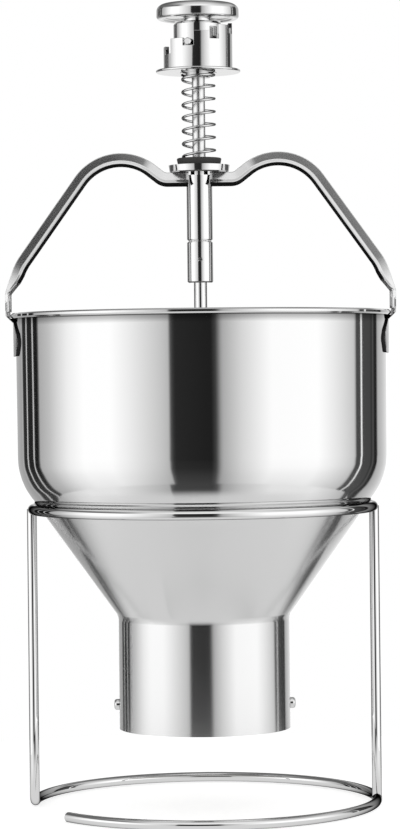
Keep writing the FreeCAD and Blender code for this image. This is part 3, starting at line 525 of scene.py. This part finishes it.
def windSpring(shape):
    bm = bmesh.new()
    ring = bmesh.ops.create_circle(bm, cap_ends=True, segments=shape["wireSides"],
                                   radius=shape["wireRadius"])
    bmesh.ops.rotate(bm, matrix=Matrix.Rotation(math.pi / 2, 3, "X"), verts=ring["verts"])
    start = (-shape["coilRadius"], 0, shape["start"])
    bmesh.ops.translate(bm, vec=start, verts=ring["verts"])
    steps = shape["stepsPerTurn"]
    last = allParts(bm)
    for turns, low, high in shape["spans"]:
        count = round(turns * steps)
        for i in range(count):
            rise = (low + (high - low) * (i + 0.5) / count) / steps
            made = bmesh.ops.spin(bm, geom=last, cent=(0, 0, 0), axis=(0, 0, 1),
                                  dvec=(0, 0, rise), angle=math.tau / steps, steps=1)
            last = made["geom_last"]
    bmesh.ops.remove_doubles(bm, verts=bm.verts[:], dist=mergeGap)
    bmesh.ops.recalc_face_normals(bm, faces=bm.faces[:])
    return bm


def cutSpring(wire, name, body):
    # the hopper carries the length below the split, and the plunger the one above
    bm = wire.copy()
    bmesh.ops.bisect_plane(bm, geom=allParts(bm),
                           plane_co=(0, 0, springShape["splitHeight"]),
                           plane_no=(0, 0, 1), clear_outer=body == "hopper",
                           clear_inner=body == "plunger")
    closeCut(bm)
    coil = newPiece(name, bm, body, springSteel)
    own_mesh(coil)
    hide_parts("return_spring")


wire = windSpring(springShape)
cutSpring(wire, "returnSpring", "hopper")
cutSpring(wire, "springTop", "plunger")
wire.free()
print("spring done")

# knob: turned, with a low dome, soft edges and a shallow recess below
knobShape = {
    # from the top of the dome round the rim and in to the boss: distance out, height
    "outline": [
        (0, 0.4952), (0.011, 0.4951), (0.0205, 0.4946), (0.0255, 0.4938), (0.0255, 0.485),
        (0.0222, 0.485), (0.0205, 0.4864), (0.0085, 0.4864), (0.0085, 0.4834), (0, 0.4834),
    ],
    # radius by the number of the corner
    "rounds": {3: 0.0034, 4: 0.0019, 5: 0.0008, 6: 0.0007, 7: 0.0006, 8: 0.0004},
    "roundSteps": 5,
    "turnSteps": 96,
}


def turnOutline(shape):
    bm = bmesh.new()
    corners = [bm.verts.new((out, 0, height)) for out, height in shape["outline"]]
    for a, b in zip(corners, corners[1:]):
        bm.edges.new((a, b))
    for index, size in shape["rounds"].items():
        bmesh.ops.bevel(bm, geom=[corners[index]], offset=size, offset_type="OFFSET",
                        segments=shape["roundSteps"], profile=0.5, affect="VERTICES",
                        material=-1)
    bmesh.ops.spin(bm, geom=bm.verts[:] + bm.edges[:], cent=(0, 0, 0), axis=(0, 0, 1),
                   angle=math.tau, steps=shape["turnSteps"], use_merge=True)
    bmesh.ops.remove_doubles(bm, verts=bm.verts[:], dist=mergeGap)
    bmesh.ops.recalc_face_normals(bm, faces=bm.faces[:])
    return bm


knob = newPiece("palmKnob", turnOutline(knobShape), "plunger", turnedSteel)
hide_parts("push_knob")
print("knob done")

# the cup's cut edges are broken by hand, so they catch a thin light
cupEdges = {
    "weldGap": 0.000004,
    "round": 0.0004,
    "roundSteps": 3,
    "fromAngle": 40,
}


def breakEdges(cup, edges):
    weld = cup.modifiers.new("weld", "WELD")
    weld.merge_threshold = edges["weldGap"]
    rounding = cup.modifiers.new("rounding", "BEVEL")
    rounding.width = edges["round"]
    rounding.segments = edges["roundSteps"]
    rounding.limit_method = "ANGLE"
    rounding.angle_limit = math.radians(edges["fromAngle"])
    rounding.use_clamp_overlap = True
    cup.modifiers.new("flats", "WEIGHTED_NORMAL")


breakEdges(nodes["selector_cup"], cupEdges)
print("cup done")

# painted shade: a soft black ring in the dish round the closed coils, put where the coils
# stand in shade
shadeRingShape = {
    "outline": [
        (0.0112, 0.3928), (0.0126, 0.3926), (0.0138, 0.3988), (0.0134, 0.3994),
        (0.0113, 0.3992), (0.0112, 0.3928),
    ],
    "rounds": {3: 0.0003},
    "roundSteps": 5,
    "turnSteps": 64,
}
newPiece("shadeRing", turnOutline(shadeRingShape), "hopper", sealRubber)
print("seat done")

# handle: a pressed channel bent over the hopper, its feet taken from the CAD part
handleShape = {
    "start": (0.0066, 0, 0.3903),
    # the section from the front edge over the web to the back edge
    "section": [
        (-0.0067, -0.0068), (-0.0066, -0.0059), (-0.0061, -0.0047), (-0.006, 0),
        (0.006, 0), (0.0061, -0.0047), (0.0066, -0.0059), (0.0067, -0.0076),
    ],
    "edgeRound": 0.0004,
    "roundSteps": 3,
    "webHalf": 0.001,
    "sheet": 0.0011,
    "sharpAngle": 50,
    # the upper face from the middle to the foot: straight runs, and bends (radius, degrees
    # downwards), each with the share of the depth that the sides keep at its end, and how
    # far they lean outwards there
    "path": [
        ("run", 0.01302, 0, 1, 0.24), ("bend", 0.004, -38, 1, 0.24),
        ("run", 0.00667, 0, 1, 0.22), ("bend", 0.0345, 12, 1, 0.08),
        ("bend", 0.0345, 80.52, 1, 0),
        ("run", 0.05943, 0, 1, 0), ("bend", 0.036, 17.04, 0.95, 0.12),
        ("run", 0.005, 0, 0.8, 0.2), ("run", 0.00792, 0, 0.34, 0.22),
        ("bend", 0.006, 18.43, 0.32, 0.22), ("run", 0.0104, 0, 0.32, 0.22),
    ],
    "startLean": 0.24,
    "stepAngle": 4,
    "stepsPerRun": 6,
    # under this height the strap's inside is pressed steel too, without the painted shade
    "brightBelow": 0.3235,
}


def leanSides(verts, local, amount):
    # each side moves outwards by how far it is below the upper face
    for vert in verts:
        below = -(local.inverted() @ vert.co).z
        vert.co.y += math.copysign(1, vert.co.y) * amount * below


def drawSection(shape):
    bm = bmesh.new()
    corners = [bm.verts.new((0, y, z)) for y, z in shape["section"]]
    for a, b in zip(corners, corners[1:]):
        bm.edges.new((a, b))
    bmesh.ops.bevel(bm, geom=corners[1:-1], offset=shape["edgeRound"],
                    offset_type="OFFSET", segments=shape["roundSteps"], profile=0.5,
                    affect="VERTICES", material=-1)
    bmesh.ops.translate(bm, vec=shape["start"], verts=bm.verts)
    return bm


def pressHalf(shape):
    # the section is carried along the path, a short step at a time
    bm = drawSection(shape)
    place = Vector(shape["start"])
    last = bm.verts[:] + bm.edges[:]
    heading = 0.0
    depth = 1.0
    lean = shape["startLean"]
    leanSides(bm.verts, Matrix.Translation(place), lean)
    for kind, size, degrees, share, leanAtEnd in shape["path"]:
        count = max(shape["stepsPerRun"], round(abs(degrees) / shape["stepAngle"]))
        for i in range(count):
            if kind == "run":
                step = Vector((math.cos(heading), 0, -math.sin(heading))) * size / count
                made = bmesh.ops.spin(bm, geom=last, cent=place, axis=(0, 1, 0), dvec=step,
                                      angle=0, steps=1)
                place = place + step
            else:
                angle = math.radians(degrees) / count
                up = Vector((math.sin(heading), 0, math.cos(heading)))
                centre = place - up * math.copysign(size, degrees)
                made = bmesh.ops.spin(bm, geom=last, cent=centre, axis=(0, 1, 0),
                                      angle=angle, steps=1)
                place = centre + Matrix.Rotation(angle, 3, "Y") @ (place - centre)
                heading += angle
            last = made["geom_last"]
            # the sides get shallower towards the foot, measured from the upper face
            local = Matrix.Translation(place) @ Matrix.Rotation(heading, 4, "Y")
            ends = [v for v in last if isinstance(v, bmesh.types.BMVert)]
            target = depth + (share - depth) / (count - i)
            bmesh.ops.scale(bm, vec=(1, 1, target / depth), space=local.inverted(),
                            verts=ends)
            depth = target
            more = (leanAtEnd - lean) / (count - i)
            leanSides(ends, local, more)
            lean += more
    return bm


def pressStrap(shape):
    bm = pressHalf(shape)
    bmesh.ops.mirror(bm, geom=allParts(bm), axis="X", merge_dist=-1)
    bm.normal_update()
    # in each half the upper face looks upwards
    for sign in (-1, 1):
        half = [f for f in bm.faces if f.calc_center_median().x * sign > 0]
        webs = [f for f in half if abs(f.calc_center_median().y) < shape["webHalf"]]
        if sum(f.normal.z for f in webs) < 0:
            bmesh.ops.reverse_faces(bm, faces=half)
    for face in bm.faces:
        if face.calc_center_median().z < shape["brightBelow"]:
            face.material_index = 2
    strap = newPiece("handleStrap", bm, "hopper", pressedSteel,
                     shape["sharpAngle"])
    # painted shade inside the channel and on the sheet's cut edges, in near-black steel;
    # pressed steel on both faces at the lower end
    for finish in (paintedShadeSteel, pressedSteel, pressedSteel):
        strap.data.materials.append(finish)
    sheet = strap.modifiers.new("sheet", "SOLIDIFY")
    sheet.thickness = shape["sheet"]
    sheet.offset = -1
    sheet.material_offset = 1
    sheet.material_offset_rim = 1
    flats = strap.modifiers.new("flats", "WEIGHTED_NORMAL")
    flats.keep_sharp = True
    return strap


feetShape = {
    "weldGap": 0.000005,
    "top": 0.3125,
    "sharpAngle": 40,
    # under this height the cut edges of the tabs get painted shade, in near-black steel
    "darkEdgeBelow": 0.303,
    # an edge looks less than this far outwards or inwards
    "edgeFacing": 0.5,
}


def cutFeet(shape):
    bm = bmesh.new()
    bm.from_mesh(nodes["carrying_handle"].data)
    bmesh.ops.remove_doubles(bm, verts=bm.verts[:], dist=shape["weldGap"])
    bmesh.ops.bisect_plane(bm, geom=allParts(bm), plane_co=(0, 0, shape["top"]),
                           plane_no=(0, 0, 1), clear_outer=True)
    closeCut(bm)
    # below that height the tabs' cut edges get the near-black steel as painted shade, and
    # their faces pressed steel
    for face in bm.faces:
        middle = face.calc_center_median()
        if middle.z < shape["darkEdgeBelow"]:
            outwards = Vector((middle.x, middle.y, 0)).normalized()
            isEdge = abs(face.normal.dot(outwards)) < shape["edgeFacing"]
            face.material_index = 1 if isEdge else 2
    feet = newPiece("handleFeet", bm, "hopper", brightSteel,
                    shape["sharpAngle"])
    for finish in (paintedShadeSteel, pressedSteel):
        feet.data.materials.append(finish)
    # the CAD mesh brings normals that no longer fit
    feet.data.attributes.remove(feet.data.attributes["custom_normal"])
    flats = feet.modifiers.new("flats", "WEIGHTED_NORMAL")
    flats.keep_sharp = True
    return feet


strap = pressStrap(handleShape)
feet = cutFeet(feetShape)
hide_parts("carrying_handle")
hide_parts("carrying_handle")
print("handle done")

scene.view_settings.view_transform = "Standard"
